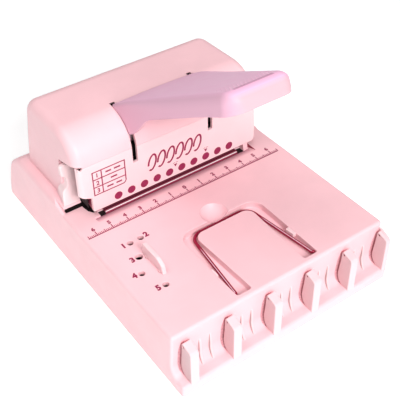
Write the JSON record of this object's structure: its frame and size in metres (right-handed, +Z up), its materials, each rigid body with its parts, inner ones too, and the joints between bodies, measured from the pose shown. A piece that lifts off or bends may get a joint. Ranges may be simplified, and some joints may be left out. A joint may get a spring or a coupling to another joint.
{
  "type": "ring binding machine",
  "caption": "Desk punch and ring binder: flat base with ruler, raised punch head with lever, wire bail, paper stop, chip drawer and a row of ring hooks along the front.",
  "frame": {"origin": "middle of the underside, on the plane that the rubber feet rest on", "axes": "+X to the right along the ruler, +Y to the back towards the punch head, +Z up"},
  "size_m": [0.138, 0.1956, 0.1383],
  "materials": {
    "pink_plastic": "satin moulded plastic, light pink",
    "pale_plastic": "satin moulded plastic, pale pink",
    "mauve_plastic": "satin moulded plastic, mauve",
    "grey_plastic": "fine textured plastic",
    "ground_steel": "ground",
    "frame_steel": "zinc plated sheet",
    "black_steel": "phosphated",
    "spring_steel": "drawn wire",
    "bail_wire": "nickel plated wire",
    "zinc_screw": "zinc plated",
    "foot_rubber": "matt"
  },
  "bodies": {
    "base": {"base_shell": "pink_plastic", "hook_rail": "pink_plastic", "ring_hooks": "pink_plastic", "rear_platform": "pink_plastic", "bottom_plate": "grey_plastic", "bottom_screws": "zinc_screw", "rubber_feet": "foot_rubber", "die_plate": "ground_steel", "paper_back_stop": "ground_steel", "guide_plate": "ground_steel", "side_plate_left": "frame_steel", "side_plate_right": "frame_steel", "frame_screws": "zinc_screw", "pivot_shaft": "ground_steel", "shaft_clips": "black_steel", "guide_rods": "ground_steel", "return_springs": "spring_steel", "left_post": "pale_plastic", "head_cover": "pink_plastic", "front_panel": "pale_plastic", "cover_screws": "zinc_screw", "bail_clips": "pink_plastic"},
    "lever": {"lever_shell": "mauve_plastic", "lever_core": "frame_steel", "lever_screws": "zinc_screw", "press_rod": "ground_steel"},
    "punch_carrier": {"press_bar": "frame_steel", "punch_pins": "ground_steel"},
    "bail": {"wire_bail": "bail_wire"},
    "stop": {"paper_stop": "pale_plastic"},
    "drawer": {"chip_drawer": "pink_plastic"}
  },
  "joints": [
    {"name": "lever_hinge", "type": "hinge", "parent": "base", "child": "lever", "pos_m": [-0.00135, 0.02575, 0.07], "axis": [1, 0, 0], "range_deg": [0, 45], "stiffness_Nm_per_rad": 0.6, "springref_deg": -20.05},
    {"name": "press_slide", "type": "slide", "parent": "base", "child": "punch_carrier", "axis": [0, 0, -1], "range_m": [0, 0.0086], "deforming": ["return_springs"]},
    {"name": "bail_hinge", "type": "hinge", "parent": "base", "child": "bail", "pos_m": [-0.0009, -0.08355, 0.0349], "axis": [1, 0, 0], "range_deg": [0, 100]},
    {"name": "stop_lift", "type": "slide", "parent": "base", "child": "stop", "axis": [0, 0, 1], "range_m": [0, 0.012]},
    {"name": "drawer_slide", "type": "slide", "parent": "base", "child": "drawer", "axis": [1, 0, 0], "range_m": [0, 0.1]}
  ],
  "couplings": [
    {"joint": "press_slide", "follows": "lever_hinge", "m_per_rad": 0.010914}
  ]
}
